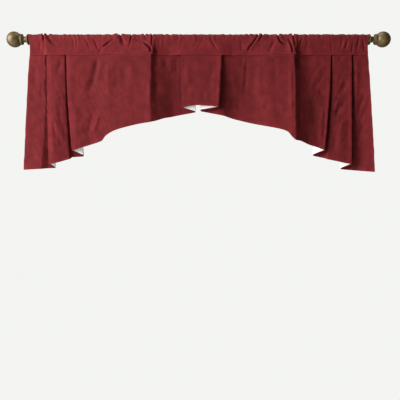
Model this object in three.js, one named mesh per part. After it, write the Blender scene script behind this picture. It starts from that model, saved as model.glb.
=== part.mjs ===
// A lined, pleated valance with a scalloped hem, gathered on a plain rod with ball finials.
// Millimetres. +X runs along the rod to the viewer's right, +Y runs back to the wall, +Z is up.
// The origin is on the rod's axis, half way between the finials.

import * as THREE from "three";

// Rod
const rodDiameter = 28;
const rodLength = 1250;
const rodSides = 28;
const rodRadius = rodDiameter / 2;

// Room left between pieces that touch
const fitGap = 0.3;
const liningGap = 0.5; // folds narrow it
const pocketGap = 0.5; // least room round the rod

// Ball finial, sized along its axis from the face that meets the rod
const finial = {
  footRadius: 19.6,
  footLip: 1.2,
  footWidth: 3.2,
  neckRadius: 10.4,
  neckAt: 16,
  ringRadius: 19.5,
  ringStart: 22,
  ringEnd: 30.4,
  ringLip: 1.2,
  ballRadius: 28.5,
  ballAt: 52,
};
const finialSides = 24;
const hollowSteps = 3;
const ballSteps = 8;

// Cloth
const clothThickness = 1;
const liningInset = 4; // how far the lining stays inside the hem and the side edges
const seamHeight = -53.4;

// Depths of the lined cloth at the seam, where a pleat lies three layers deep
const layer = { front: -5.5, middle: -1.5, back: 2.5 };

// Two soft folds start above the seam and push the band forward there.
// Each one rises from its foot to its crest and falls away steeply to its drop.
const softFolds = [
  { foot: -372, shoulder: -336, crest: -180, drop: -165, rise: 13 },
  { foot: 183, shoulder: 212, crest: 342, drop: 358, rise: 13 },
];
const shoulderShare = 0.75; // part of the rise that is reached at the shoulder

// Pleats from left to right, each with the fold that shows (edge) and the hidden fold behind it (tip).
// Pairs are at the seam and at the hem. The drops are the cloth's lengths below the seam.
// open is how far the pleat stands apart at the hem, front to back.
const pleats = {
  leftOuter: { edge: [-559, -551], tip: [-526, -526], edgeDrop: 407, tipDrop: 419, open: 17 },
  leftInner: { edge: [-489, -462], tip: [-441, -422], edgeDrop: 358, tipDrop: 376, open: 26 },
  centreLeft: { edge: [-66, -62], tip: [-11, -11], edgeDrop: 200, tipDrop: 214, open: 22 },
  centreRight: { edge: [80, 68], tip: [6, 4], edgeDrop: 198, tipDrop: 208, open: 26 },
  rightInner: { edge: [487, 461], tip: [440, 420], edgeDrop: 357, tipDrop: 373, open: 26 },
  rightOuter: { edge: [564, 560], tip: [521, 522], edgeDrop: 407, tipDrop: 423, open: 24 },
};
const edgeShare = 0.6; // share of a pleat's opening that lies in front of the seam
const foldShare = 0.3; // share of a pleat's opening that one fold takes
const pleatFacets = 4;

// The cloth between the pleats, from left to right: the lines that shape each panel.
// Pairs are at the seam and at the hem. y is the depth, drop the length below the seam,
// round how widely the cloth bends there and facets how many flats make the bend.
const panels = {
  leftOuter: [
    { x: [-621, -644], y: [2.5, -3], drop: 426, round: 0, facets: 1 },
    { x: [-603, -606], y: [1.5, -12], drop: 425, round: 14, facets: 1 },
    { x: [-567, -562], y: [2.5, 5], drop: 421, round: 10, facets: 1 },
  ],
  leftMiddle: [
    { x: [-517, -515], y: [-5.5, -12], drop: 399, round: 10, facets: 1 },
    { x: [-498, -478], y: [2.5, 4], drop: 388, round: 8, facets: 1 },
  ],
  leftScallop: [
    { x: [-428, -418], y: [-5.5, -17], drop: 343, round: 16, facets: 1 },
    { x: [-369, -390], y: [-5, -13], drop: 334, round: 14, facets: 1 },
    { x: [-356, -364], y: [-8, -17], drop: 326, round: 6, facets: 1 },
    { x: [-347, -351], y: [-11, -19], drop: 321, round: 5, facets: 1 },
    { x: [-338, -341], y: [-13, -21], drop: 305, round: 6, facets: 1 },
    { x: [-326, -328], y: [-15, -22], drop: 294, round: 8, facets: 1 },
    { x: [-304, -304], y: [-15.5, -24], drop: 282, round: 14, facets: 1 },
    { x: [-264, -264], y: [-16, -26], drop: 271, round: 22, facets: 1 },
    { x: [-216, -216], y: [-17, -29], drop: 260, round: 20, facets: 1 },
    { x: [-175, -175], y: [-18.5, -36], drop: 254, round: 8, facets: 2 },
    { x: [-167, -168], y: [-5.5, -10], drop: 248, round: 6, facets: 2 },
    { x: [-120, -120], y: [0, 1], drop: 236, round: 26, facets: 1 },
    { x: [-78, -77], y: [2.5, 6], drop: 226, round: 12, facets: 1 },
  ],
  centre: [
    { x: [-34, -32], y: [-5.5, -15], drop: 192, round: 20, facets: 1 },
    { x: [2, 1], y: [-6, -16], drop: 190, round: 18, facets: 1 },
    { x: [40, 38], y: [-5.5, -16], drop: 193, round: 18, facets: 1 },
  ],
  rightScallop: [
    { x: [90, 83], y: [2.5, 8], drop: 226, round: 8, facets: 1 },
    { x: [138, 134], y: [-2, -4], drop: 239, round: 24, facets: 1 },
    { x: [185, 175], y: [-5.5, -9], drop: 250, round: 10, facets: 1 },
    { x: [201, 199], y: [-12, -15], drop: 256, round: 12, facets: 1 },
    { x: [254, 253], y: [-15.5, -22], drop: 268, round: 24, facets: 1 },
    { x: [304, 303], y: [-17, -28], drop: 279, round: 16, facets: 1 },
    { x: [331, 325], y: [-18, -33], drop: 289, round: 6, facets: 1 },
    { x: [342, 336], y: [-18.5, -37], drop: 305, round: 6, facets: 2 },
    { x: [350, 346], y: [-15, -33], drop: 318, round: 5, facets: 2 },
    { x: [357, 360], y: [-5.5, -10], drop: 320, round: 6, facets: 2 },
    { x: [388, 388], y: [-2, 2], drop: 330, round: 20, facets: 1 },
    { x: [428, 414], y: [-5.5, -5], drop: 340, round: 14, facets: 1 },
  ],
  rightMiddle: [
    { x: [496, 477], y: [2.5, 4], drop: 386, round: 8, facets: 1 },
    { x: [513, 507], y: [-5.5, -8], drop: 395, round: 8, facets: 1 },
  ],
  rightOuter: [
    { x: [572, 573], y: [2.5, 5], drop: 428, round: 8, facets: 1 },
    { x: [594, 602], y: [1.5, -8], drop: 432, round: 14, facets: 1 },
    { x: [619, 643], y: [2.5, -4], drop: 435, round: 0, facets: 1 },
  ],
};
const skirtRows = 7;
const rowSpread = 1.3; // sets the rows closer together near the seam
const bendLimit = 0.45; // most of a stretch that one bend may take
const hangPower = 1.5; // how soon below the seam the folds reach their full depth

// Gathers of the band, from left to right: creases that run down its front.
// top and seam are where a crease's line crosses the top of the rod and the seam,
// from and to are the heights it starts and ends at, width is half its width.
const gathers = [
  { top: -573, seam: -567, from: 18, to: -14, width: 7, depth: 3 },
  { top: -551, seam: -492, from: 18, to: -48, width: 11, depth: 4 },
  { top: -425, seam: -398, from: 6, to: -46, width: 11, depth: 2.5 },
  { top: -398, seam: -375, from: 0, to: -48, width: 7, depth: 3 },
  { top: -302, seam: -356, from: 14, to: -34, width: 9, depth: 5 },
  { top: -283, seam: -263, from: 18, to: -30, width: 7, depth: 3 },
  { top: -249, seam: -244, from: 18, to: -40, width: 8, depth: 4 },
  { top: -212, seam: -168, from: 4, to: -42, width: 10, depth: 6 },
  { top: -165, seam: -148, from: 18, to: -20, width: 8, depth: 3 },
  { top: 33, seam: 68, from: 8, to: -44, width: 12, depth: 2 },
  { top: 219, seam: 177, from: 18, to: -48, width: 11, depth: 5 },
  { top: 240, seam: 205, from: 18, to: -26, width: 8, depth: 3 },
  { top: 288, seam: 322, from: 18, to: -24, width: 9, depth: 4 },
  { top: 326, seam: 354, from: 10, to: -48, width: 10, depth: 6 },
  { top: 530, seam: 543, from: 8, to: -40, width: 11, depth: 2.5 },
  { top: 588, seam: 566, from: 8, to: -46, width: 10, depth: 3.5 },
];
const bandTopHalf = 620;
const bandSeamHalf = 617;
const bandRadius = 17.8; // middle of the cloth, from the rod's axis
const bandLineGap = 40;
const frontSteps = 4;
const overSteps = 8;
const backSteps = 2;
const overAngle = 1.25 * Math.PI; // most of a turn that the cloth takes round the rod
const gatherFade = 10; // height over which a crease starts and ends
const backGather = 0.5; // share of a crease's depth that shows at the back
const puckerDepth = 0.9; // unevenness of the pocket between the creases
const puckerLength = 61;

const clothColour = 0x7c2a2f;
const liningColour = 0xe6e4de;
const bronzeColour = 0x6b5440;

const mix = (a, b, share) => a + (b - a) * share;

const smooth = (start, end, value) => THREE.MathUtils.smoothstep(value, start, end);

// Depth that the soft folds add to the seam at x.
function seamBulge(x) {
  return softFolds.reduce((sum, { foot, shoulder, crest, drop, rise }) => {
    const climb = mix(smooth(shoulder, crest, x), smooth(foot, shoulder, x), shoulderShare);
    return sum + rise * climb * (1 - smooth(crest, drop, x));
  }, 0);
}

// The finial's half section, from the face that meets the rod to the far end of the ball.
function finialProfile() {
  const f = finial;
  const profile = [];
  const add = (radius, along) => profile.push(new THREE.Vector2(radius, along));
  add(0, 0);
  add(f.footRadius - f.footLip, 0);
  add(f.footRadius, f.footLip);
  for (let step = 0; step < hollowSteps; step++) {
    const angle = ((step / hollowSteps) * Math.PI) / 2;
    add(mix(f.footRadius, f.neckRadius, Math.sin(angle)), mix(f.footWidth, f.neckAt, 1 - Math.cos(angle)));
  }
  for (let step = 0; step <= hollowSteps; step++) {
    const angle = ((step / hollowSteps) * Math.PI) / 2;
    const radius = mix(f.neckRadius, f.ringRadius - f.ringLip, 1 - Math.cos(angle));
    add(radius, mix(f.neckAt, f.ringStart, Math.sin(angle)));
  }
  add(f.ringRadius, f.ringStart + f.ringLip);
  add(f.ringRadius, f.ringEnd - f.ringLip);
  const startAngle = Math.acos((f.ballAt - f.ringEnd) / f.ballRadius);
  for (let step = 0; step < ballSteps; step++) {
    const angle = mix(startAngle, Math.PI, step / ballSteps);
    add(f.ballRadius * Math.sin(angle), f.ballAt - f.ballRadius * Math.cos(angle));
  }
  add(0, f.ballAt + f.ballRadius);
  return profile;
}

// A closed sheet of cloth over a grid of points, grid[row][column].
// near and far are how far its two sides lie from the grid, along the grid's normals.
// A wrapped sheet joins its last row to its first.
function clothSolid(grid, near, far, wrapped = false) {
  const rows = grid.length;
  const columns = grid[0].length;
  const row = (i) => (wrapped ? (i + rows) % rows : THREE.MathUtils.clamp(i, 0, rows - 1));
  const column = (j) => THREE.MathUtils.clamp(j, 0, columns - 1);
  const nearSide = [];
  const farSide = [];
  for (let i = 0; i < rows; i++) {
    for (let j = 0; j < columns; j++) {
      const along = grid[i][column(j + 1)].clone().sub(grid[i][column(j - 1)]);
      const down = grid[row(i + 1)][j].clone().sub(grid[row(i - 1)][j]);
      const normal = along.cross(down).normalize();
      nearSide.push(grid[i][j].clone().addScaledVector(normal, near));
      farSide.push(grid[i][j].clone().addScaledVector(normal, far));
    }
  }
  const n = (i, j) => row(i) * columns + j;
  const f = (i, j) => rows * columns + n(i, j);
  const faces = [];
  const right = columns - 1;
  for (let i = 0; i < (wrapped ? rows : rows - 1); i++) {
    for (let j = 0; j < right; j++) {
      faces.push(f(i, j), f(i, j + 1), f(i + 1, j), f(i, j + 1), f(i + 1, j + 1), f(i + 1, j));
      faces.push(n(i, j), n(i + 1, j), n(i, j + 1), n(i, j + 1), n(i + 1, j), n(i + 1, j + 1));
    }
    faces.push(n(i, 0), f(i, 0), n(i + 1, 0), f(i, 0), f(i + 1, 0), n(i + 1, 0));
    faces.push(n(i, right), n(i + 1, right), f(i, right), f(i, right), n(i + 1, right), f(i + 1, right));
  }
  const bottom = rows - 1;
  for (let j = 0; j < right && !wrapped; j++) {
    faces.push(n(0, j), n(0, j + 1), f(0, j), n(0, j + 1), f(0, j + 1), f(0, j));
    faces.push(n(bottom, j), f(bottom, j), n(bottom, j + 1));
    faces.push(n(bottom, j + 1), f(bottom, j), f(bottom, j + 1));
  }
  const geometry = new THREE.BufferGeometry().setFromPoints([...nearSide, ...farSide]);
  geometry.setIndex(faces);
  geometry.computeVertexNormals();
  return geometry;
}

const skirtPoint = (x, y, drop, share) => new THREE.Vector3(x, y, seamHeight - fitGap - share * drop);

// The two folds of a pleat, in the order in which the cloth runs. Each turns back round two corners.
function pleatBends(pleat, share, open) {
  const edge = mix(pleat.edge[0], pleat.edge[1], share);
  const tip = mix(pleat.tip[0], pleat.tip[1], share);
  const front = mix(layer.front, -pleat.open * edgeShare, open);
  const back = mix(layer.back, pleat.open * (1 - edgeShare), open);
  const fold = mix(layer.middle - layer.front, pleat.open * foldShare, open);
  const corners = [
    skirtPoint(tip, back, pleat.tipDrop, share),
    skirtPoint(tip, back - fold, pleat.tipDrop, share),
    skirtPoint(edge, front + fold, pleat.edgeDrop, share),
    skirtPoint(edge, front, pleat.edgeDrop, share),
  ];
  if (tip < edge) corners.reverse();
  return [corners.slice(0, 2), corners.slice(2)].map((turn) => ({
    corners: turn,
    round: fold,
    facets: pleatFacets,
  }));
}

// The bends of a panel, each round one corner.
function panelBends(lines, share, open) {
  return lines.map(({ x, y, drop, round, facets }) => ({
    corners: [skirtPoint(mix(x[0], x[1], share), mix(y[0], y[1], open), drop, share)],
    round,
    facets,
  }));
}

// One row of the skirt, the same share of the way from the seam to the hem all along.
function skirtRow(share) {
  const open = 1 - (1 - share) ** hangPower;
  const pleatList = Object.values(pleats);
  const bends = Object.values(panels).flatMap((lines, i) => [
    ...panelBends(lines, share, open),
    ...(i < pleatList.length ? pleatBends(pleatList[i], share, open) : []),
  ]);
  return bends.flatMap(({ corners, round, facets }, i) => {
    if (i === 0 || i === bends.length - 1) return corners;
    const first = corners.at(0);
    const last = corners.at(-1);
    const towards = (from, to) => from.clone().lerp(to, Math.min(round / from.distanceTo(to), bendLimit));
    const start = towards(first, bends[i - 1].corners.at(-1));
    const end = towards(last, bends[i + 1].corners.at(0));
    const curve =
      corners.length === 2
        ? new THREE.CubicBezierCurve3(start, first, last, end)
        : new THREE.QuadraticBezierCurve3(start, first, end);
    return curve.getPoints(facets);
  });
}

function skirtGrid() {
  return Array.from({ length: skirtRows + 1 }, (_, i) => skirtRow((i / skirtRows) ** rowSpread));
}

// The same grid, drawn in from the hem and from both side edges.
function drawnIn(grid, inset) {
  const pull = (from, to) => from.clone().lerp(to, inset / from.distanceTo(to));
  const [above, hem] = grid.slice(-2);
  const shorter = [...grid.slice(0, -1), hem.map((point, j) => pull(point, above[j]))];
  return shorter.map((row) => {
    const [beforeEnd, end] = row.slice(-2);
    return [pull(row[0], row[1]), ...row.slice(1, -1), pull(end, beforeEnd)];
  });
}

// The lines that run down the band: each crease with its two sides, and plain lines between them.
function bandLines() {
  const marked = [
    { top: -bandTopHalf, seam: -bandSeamHalf },
    ...gathers.flatMap((crease) => [
      { top: crease.top - crease.width, seam: crease.seam - crease.width },
      { top: crease.top, seam: crease.seam, crease },
      { top: crease.top + crease.width, seam: crease.seam + crease.width },
    ]),
    { top: bandTopHalf, seam: bandSeamHalf },
  ];
  return marked.flatMap((line, i) => {
    const next = marked[i + 1] ?? line;
    const parts = Math.max(1, Math.ceil((next.top - line.top) / bandLineGap));
    const between = (share) => ({
      top: mix(line.top, next.top, share),
      seam: mix(line.seam, next.seam, share),
    });
    return Array.from({ length: parts }, (_, k) => (k === 0 ? line : between(k / parts)));
  });
}

// The pocket's section at x before its creases: up the front, over the rod and down the back.
function bandSection(x) {
  const bulge = seamBulge(x);
  const foot = seamHeight + clothThickness / 2;
  const frontFoot = new THREE.Vector2(layer.front - clothThickness / 2 - bulge, foot);
  const backFoot = new THREE.Vector2(layer.back + clothThickness / 2 - bulge, foot);
  const touch = (point, side) => Math.atan2(point.y, point.x) + side * Math.acos(bandRadius / point.length());
  const start = touch(frontFoot, -1);
  const end = touch(backFoot, 1);
  const turn = THREE.MathUtils.euclideanModulo(start - end, 2 * Math.PI);
  const onRod = (angle) => new THREE.Vector2(Math.cos(angle), Math.sin(angle)).multiplyScalar(bandRadius);
  const section = [];
  for (let i = 0; i < frontSteps; i++) section.push(frontFoot.clone().lerp(onRod(start), i / frontSteps));
  for (let i = 0; i < overSteps; i++) section.push(onRod(start - (turn * i) / overSteps));
  for (let i = 0; i <= backSteps; i++) section.push(onRod(end).lerp(backFoot, i / backSteps));
  return section;
}

// How far a line of the band is drawn in towards the rod at a point of its section.
function bandDent(line, x, height, front) {
  const turn = (2 * Math.PI * x) / puckerLength;
  const pucker = puckerDepth * Math.sin(turn) * Math.sin(turn / 6);
  if (!line.crease) return pucker;
  const { from, to, depth } = line.crease;
  const shown = smooth(to - gatherFade, to, height) * (1 - smooth(from, from + gatherFade, height));
  return pucker + depth * shown * (front ? 1 : backGather);
}

function bandGrid() {
  // flat facets cut in over the round rod, so their corners stand off a little more
  const nearest = (rodRadius + pocketGap + clothThickness / 2) / Math.cos(overAngle / overSteps / 2);
  const lines = bandLines().map((line) => {
    const section = bandSection(line.seam);
    return section.map((point, i) => {
      const x = mix(line.top, line.seam, (bandRadius - point.y) / (bandRadius - seamHeight));
      const atSeam = i === 0 || i === section.length - 1;
      const dent = atSeam ? 0 : bandDent(line, x, point.y, i < frontSteps + overSteps / 2);
      const inward = new THREE.Vector2(-point.x, Math.min(-point.y, 0)).normalize();
      const moved = point.clone().addScaledVector(inward, dent);
      if (moved.length() < nearest) moved.setLength(nearest);
      return new THREE.Vector3(x, moved.x, moved.y);
    });
  });
  return lines[0].map((_, i) => lines.map((line) => line[i]));
}

function part(name, geometry, finish) {
  const mesh = new THREE.Mesh(geometry, new THREE.MeshStandardMaterial(finish));
  mesh.name = name;
  return mesh;
}

const cloth = { color: clothColour, roughness: 0.9 };
const liningCloth = { color: liningColour, roughness: 0.95 };
const bronze = { color: bronzeColour, roughness: 0.45, metalness: 0.7 };

const rod = part("rod", new THREE.CylinderGeometry(rodRadius, rodRadius, rodLength, rodSides), bronze);
rod.rotation.z = Math.PI / 2;

function ballFinial(name, side) {
  const mesh = part(name, new THREE.LatheGeometry(finialProfile(), finialSides), bronze);
  mesh.rotation.z = (-side * Math.PI) / 2;
  mesh.position.x = side * (rodLength / 2 + fitGap);
  return mesh;
}

const halfBand = clothThickness / 2;
const pocketBand = part("pocket_band", clothSolid(bandGrid(), -halfBand, halfBand, true), cloth);

// The skirt's cloth and its lining lie on the two sides of one folded surface.
const folds = skirtGrid();
const innerSide = liningGap / 2;
const outerSide = innerSide + clothThickness;
const skirt = part("skirt", clothSolid(folds, -outerSide, -innerSide), cloth);
const lining = part("lining", clothSolid(drawnIn(folds, liningInset), innerSide, outerSide), liningCloth);

const group = new THREE.Group();
group.add(rod, ballFinial("finial_left", -1), ballFinial("finial_right", 1), pocketBand, skirt, lining);

export default group;
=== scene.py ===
# %% [markdown]
# This lesson dresses a scalloped valance: a dark red, lined skirt of cloth with six pleats and an arched
# hem, sewn to a pocket band that is gathered on a bronze rod with ball finials. The imported solids come
# first, because every piece made here has to sit where they are.

# %% Load the frame
import math
from collections import namedtuple

import bmesh
import bpy
import numpy as np
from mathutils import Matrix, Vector, noise


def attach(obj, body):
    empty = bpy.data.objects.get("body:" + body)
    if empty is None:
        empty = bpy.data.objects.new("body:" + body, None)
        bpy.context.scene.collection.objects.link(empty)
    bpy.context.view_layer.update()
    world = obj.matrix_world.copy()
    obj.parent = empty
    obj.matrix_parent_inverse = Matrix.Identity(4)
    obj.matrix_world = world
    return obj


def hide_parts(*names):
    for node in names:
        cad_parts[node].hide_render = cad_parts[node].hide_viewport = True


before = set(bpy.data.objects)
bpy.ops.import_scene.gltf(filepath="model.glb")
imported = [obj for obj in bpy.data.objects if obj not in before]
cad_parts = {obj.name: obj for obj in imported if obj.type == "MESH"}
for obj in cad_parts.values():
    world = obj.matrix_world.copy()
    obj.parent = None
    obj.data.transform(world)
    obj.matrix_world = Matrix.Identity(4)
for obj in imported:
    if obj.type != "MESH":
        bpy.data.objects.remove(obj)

MM = 0.001
scene = bpy.context.scene
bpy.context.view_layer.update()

# %% [markdown]
# The camera stands square to the rod, level with the middle of the picture and a little below the hem. Its
# distance and lens set how large the valance is in the frame. A longer lens from further off would give the
# same size, but would flatten the pleats.

# %% Camera
CAMERA_AT = (0.005, -2.044, -0.5906)
CAMERA_LENS = 50

camera_data = bpy.data.cameras.new("camera")
camera_data.lens = CAMERA_LENS
camera = bpy.data.objects.new("camera", camera_data)
camera.location = CAMERA_AT
camera.rotation_euler = (math.radians(90), 0, 0)
scene.collection.objects.link(camera)
scene.camera = camera
print("camera at", CAMERA_AT, "with a", CAMERA_LENS, "mm lens")

# %% [markdown]
# Folds in cloth show only when light rakes across them, so the key is one large soft lamp far to the left,
# a little in front of the cloth. A weak lamp above draws the top of the band, one low in front opens the
# shadows, and a faint even light fills the rest. The pale surroundings are what the camera sees behind the
# object; a Light Path node keeps them brighter to the eye than they are as a lamp, so they don't wash out
# the folds. The Standard view transform keeps colours as they are set.

# %% Studio light
BACKDROP = (0.9, 0.91, 0.885, 1)
FILL_COLOUR = (1.0, 0.96, 0.68, 1)
FILL_STRENGTH = 0.095

scene.view_settings.view_transform = "Standard"
world = bpy.data.worlds.new("studio")
scene.world = world
world.use_nodes = True
sky = world.node_tree
fill = sky.nodes["Background"]
fill.inputs["Color"].default_value = FILL_COLOUR
fill.inputs["Strength"].default_value = FILL_STRENGTH
shown = sky.nodes.new("ShaderNodeBackground")
shown.inputs["Color"].default_value = BACKDROP
ray = sky.nodes.new("ShaderNodeLightPath")
either = sky.nodes.new("ShaderNodeMixShader")
sky.links.new(ray.outputs["Is Camera Ray"], either.inputs[0])
sky.links.new(fill.outputs[0], either.inputs[1])
sky.links.new(shown.outputs[0], either.inputs[2])
sky.links.new(either.outputs[0], sky.nodes["World Output"].inputs["Surface"])


def add_lamp(name, at, turn, size, power, colour):
    lamp = bpy.data.lights.new(name, "AREA")
    lamp.size = size
    lamp.energy = power
    lamp.color = colour
    stand = bpy.data.objects.new(name, lamp)
    stand.location = at
    stand.rotation_euler = [math.radians(degrees) for degrees in turn]
    scene.collection.objects.link(stand)
    print(name, "lamp of", power, "W")


add_lamp("key", at=(-2.42, -1.25, 0.38), turn=(78, 0, -63), size=2.2, power=173, colour=(1.0, 0.99, 1.0))
add_lamp("top", at=(0.1, 0.05, 1.3), turn=(0, 0, 0), size=1.3, power=12, colour=(1.0, 0.97, 0.95))
add_lamp("low_fill", at=(0.2, -1.9, -1.7), turn=(127, 0, 6), size=1.2, power=16, colour=(1.0, 0.97, 0.88))

# %% [markdown]
# Small helpers keep the node trees readable: one makes a material, one adds a node and sets its sockets,
# and others add the nodes that come back in every finish. A value that is the same all over is set on the
# shader's socket; only what varies is linked.

# %% Node helpers
def new_finish(name, **sockets):
    material = bpy.data.materials.new(name)
    material.use_nodes = True
    shader = material.node_tree.nodes["Principled BSDF"]
    for socket, value in sockets.items():
        shader.inputs[socket.replace("_", " ")].default_value = value
    return material, material.node_tree, shader


def add_node(tree, kind, links=None, **sockets):
    node = tree.nodes.new(kind)
    for socket, value in sockets.items():
        node.inputs[socket.replace("_", " ")].default_value = value
    for socket, source in (links or {}).items():
        tree.links.new(source, node.inputs[socket])
    return node


def calculate(tree, operation, *values):
    node = tree.nodes.new("ShaderNodeMath")
    node.operation = operation
    for socket, value in zip(node.inputs, values):
        if isinstance(value, (int, float)):
            socket.default_value = value
        else:
            tree.links.new(value, socket)
    return node.outputs[0]


def cloudy(tree, place, scale, detail, roughness=0.5):
    """Noise over a place, from 0 to 1."""
    node = add_node(tree, "ShaderNodeTexNoise", links={"Vector": place})
    node.inputs["Scale"].default_value = scale
    node.inputs["Detail"].default_value = detail
    node.inputs["Roughness"].default_value = roughness
    return node.outputs["Fac"]


def graded(tree, value, *stops):
    """A colour ramp over value, with stops of (place, colour)."""
    node = add_node(tree, "ShaderNodeValToRGB", links={"Fac": value})
    ramp = node.color_ramp
    for stop, (place, colour) in zip([ramp.elements[0], ramp.elements[1]], stops):
        stop.position = place
        stop.color = (*colour, 1)
    for place, colour in stops[2:]:
        ramp.elements.new(place).color = (*colour, 1)
    return node.outputs["Color"]


def add_bump(tree, shader, height, strength, distance):
    node = add_node(tree, "ShaderNodeBump", links={"Height": height}, Strength=strength, Distance=distance)
    tree.links.new(node.outputs["Normal"], shader.inputs["Normal"])


def object_place(tree):
    """A place in the object's own metres."""
    return tree.nodes.new("ShaderNodeTexCoord").outputs["Object"]


print("node helpers ready")

# %% [markdown]
# Every piece is shaped in a bmesh and becomes an object that stays at the origin, with its place in its
# mesh, as the imported solids are. A piece that takes over from a solid hides that solid, rides on the root
# body and carries its finish as its material.

# %% From bmesh to piece
def make_piece(name, bm, finish):
    mesh = bpy.data.meshes.new(name)
    bm.to_mesh(mesh)
    bm.free()
    mesh.materials.append(finish)
    piece = bpy.data.objects.new(name, mesh)
    scene.collection.objects.link(piece)
    return piece


def take_over(piece, node):
    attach(piece, "root")
    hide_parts(node)


print("piece helpers ready")

# %% [markdown]
# The floor is a plain pale sheet, two metres below the rod. It ends before it would show in the front view,
# and lights the cloth a little from below in all views.

# %% Floor
FLOOR_DROP = 2.0
FLOOR_HALF = 2.4
FLOOR_FRONT = -0.7

floor_finish, tree, shader = new_finish("pale_floor", Roughness=0.9)
clouds = cloudy(tree, object_place(tree), scale=3.0, detail=3.0)
tone = graded(tree, clouds, (0.3, (0.76, 0.76, 0.74)), (0.7, (0.8, 0.8, 0.78)))
tree.links.new(tone, shader.inputs["Base Color"])

bm = bmesh.new()
bmesh.ops.create_grid(bm, x_segments=2, y_segments=2, size=FLOOR_HALF)
bmesh.ops.translate(bm, verts=bm.verts, vec=(0, FLOOR_FRONT, -FLOOR_DROP))
floor = make_piece("floor", bm, floor_finish)
print("floor", 2 * FLOOR_HALF, "m wide")

# %% [markdown]
# The rod and finials have an antique bronze finish: brown metal with lighter rubbed patches and dark
# specks. Two sizes of noise on Object coordinates give patches and specks, and the specks also change how
# glossy it is.

# %% Antique bronze
BRONZE_DARK = (0.055, 0.0325, 0.0095)
BRONZE_BODY = (0.117, 0.0735, 0.0245)
BRONZE_RUBBED = (0.173, 0.117, 0.043)
SPECK_SHARE = 0.35
GLOSS_LEAST, GLOSS_RANGE = 0.27, 0.3

bronze, tree, shader = new_finish("antique_bronze", Metallic=0.15)
place = object_place(tree)
patches = cloudy(tree, place, scale=55.0, detail=5.0, roughness=0.65)
specks = cloudy(tree, place, scale=420.0, detail=3.0, roughness=0.6)
wear = calculate(tree, "MULTIPLY_ADD", specks, SPECK_SHARE, patches)
tone = graded(tree, wear, (0.46, BRONZE_DARK), (0.95, BRONZE_RUBBED), (0.68, BRONZE_BODY))
tree.links.new(tone, shader.inputs["Base Color"])
gloss = calculate(tree, "MULTIPLY_ADD", specks, GLOSS_RANGE, GLOSS_LEAST)
tree.links.new(gloss, shader.inputs["Roughness"])
add_bump(tree, shader, wear, strength=0.25, distance=0.0008)

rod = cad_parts["rod"]
rod.data.materials.clear()
rod.data.materials.append(bronze)
print("bronze on", rod.name)

# %% [markdown]
# A finial is turned on a lathe or cast from a turned pattern, so it is a half profile spun round the rod's
# axis. A ball, a ring and a cone could be joined instead, but one profile has no seams between them. It
# runs from the foot against the rod, through a hollow neck and a thick ring, to the ball. Short arcs round
# each lip, because a real cast edge always catches a line of light.

# %% Finials
ROD_END = 625.3
FOOT_RADIUS, FOOT_WIDTH, NECK_RADIUS, NECK_AT = 19.6, 3.4, 10.4, 16.0
RING_RADIUS, RING_START, RING_END = 19.5, 21.6, 30.4
BALL_RADIUS, BALL_AT = 28.5, 52.0
LIP = 1.3
LIP_STEPS, NECK_STEPS, RING_STEPS, BALL_STEPS, SPIN_STEPS = 4, 10, 8, 29, 72
SHARP_ANGLE = 50


def mix(a, b, share):
    return a + (b - a) * share


def lip(along, radius, start, end):
    """A small arc of points (along, radius), with angles in degrees from the axis."""
    angles = np.radians(np.linspace(start, end, LIP_STEPS + 1))
    return [(along + LIP * math.cos(a), radius - LIP + LIP * math.sin(a)) for a in angles]


def hollow(start, end, steps, leaves_level):
    """A quarter of an ellipse between two points (along, radius)."""
    turns = np.linspace(0, math.pi / 2, steps + 1)
    rise = [1 - math.cos(turn) if leaves_level else math.sin(turn) for turn in turns]
    run = [math.sin(turn) if leaves_level else 1 - math.cos(turn) for turn in turns]
    return [(mix(start[0], end[0], a), mix(start[1], end[1], r)) for a, r in zip(run, rise)]


def finial_profile():
    neck = NECK_AT, NECK_RADIUS
    profile = [(0.0, 0.0)]
    profile += lip(LIP, FOOT_RADIUS, 180, 90)
    profile += lip(FOOT_WIDTH - LIP, FOOT_RADIUS, 90, 20)
    profile += hollow((FOOT_WIDTH, FOOT_RADIUS - LIP), neck, NECK_STEPS, False)
    profile += hollow(neck, (RING_START, RING_RADIUS - LIP), RING_STEPS, True)[1:]
    profile += lip(RING_START + LIP, RING_RADIUS, 160, 90)
    profile += lip(RING_END - LIP, RING_RADIUS, 90, 10)
    first = math.degrees(math.acos((BALL_AT - RING_END) / BALL_RADIUS))
    ball = np.radians(np.linspace(first, 180, BALL_STEPS + 1))
    profile += [(BALL_AT - BALL_RADIUS * math.cos(a), BALL_RADIUS * math.sin(a)) for a in ball[:-1]]
    return profile + [(BALL_AT + BALL_RADIUS, 0.0)]


def make_finial(name, side, node):
    bm = bmesh.new()
    turned = [bm.verts.new((side * (ROD_END + a) * MM, 0, r * MM)) for a, r in finial_profile()]
    edges = [bm.edges.new(pair) for pair in zip(turned, turned[1:])]
    bmesh.ops.spin(bm, geom=turned + edges, cent=(0, 0, 0), axis=(1, 0, 0), angle=2 * math.pi,
                   steps=SPIN_STEPS, use_merge=True)
    bmesh.ops.remove_doubles(bm, verts=bm.verts, dist=1e-6)
    bmesh.ops.recalc_face_normals(bm, faces=bm.faces)
    piece = make_piece(name, bm, bronze)
    piece.data.shade_smooth()
    piece.data.set_sharp_from_angle(angle=math.radians(SHARP_ANGLE))
    take_over(piece, node)
    print(name, len(piece.data.polygons), "faces")


make_finial("turned_finial_left", -1, "finial_left")
make_finial("turned_finial_right", 1, "finial_right")

# %% [markdown]
# Both cloths are drawn on a UV map that holds the flat cloth's own metres, not on the object's coordinates,
# so that nap and weave follow the cloth through its folds. The weave is two sets of threads, about a
# millimetre apart, that go over and under each other. Values that change from point to point come from
# attributes of the sheet.

# %% Cloth helpers
WEAVE_PITCH = 0.0011


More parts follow.
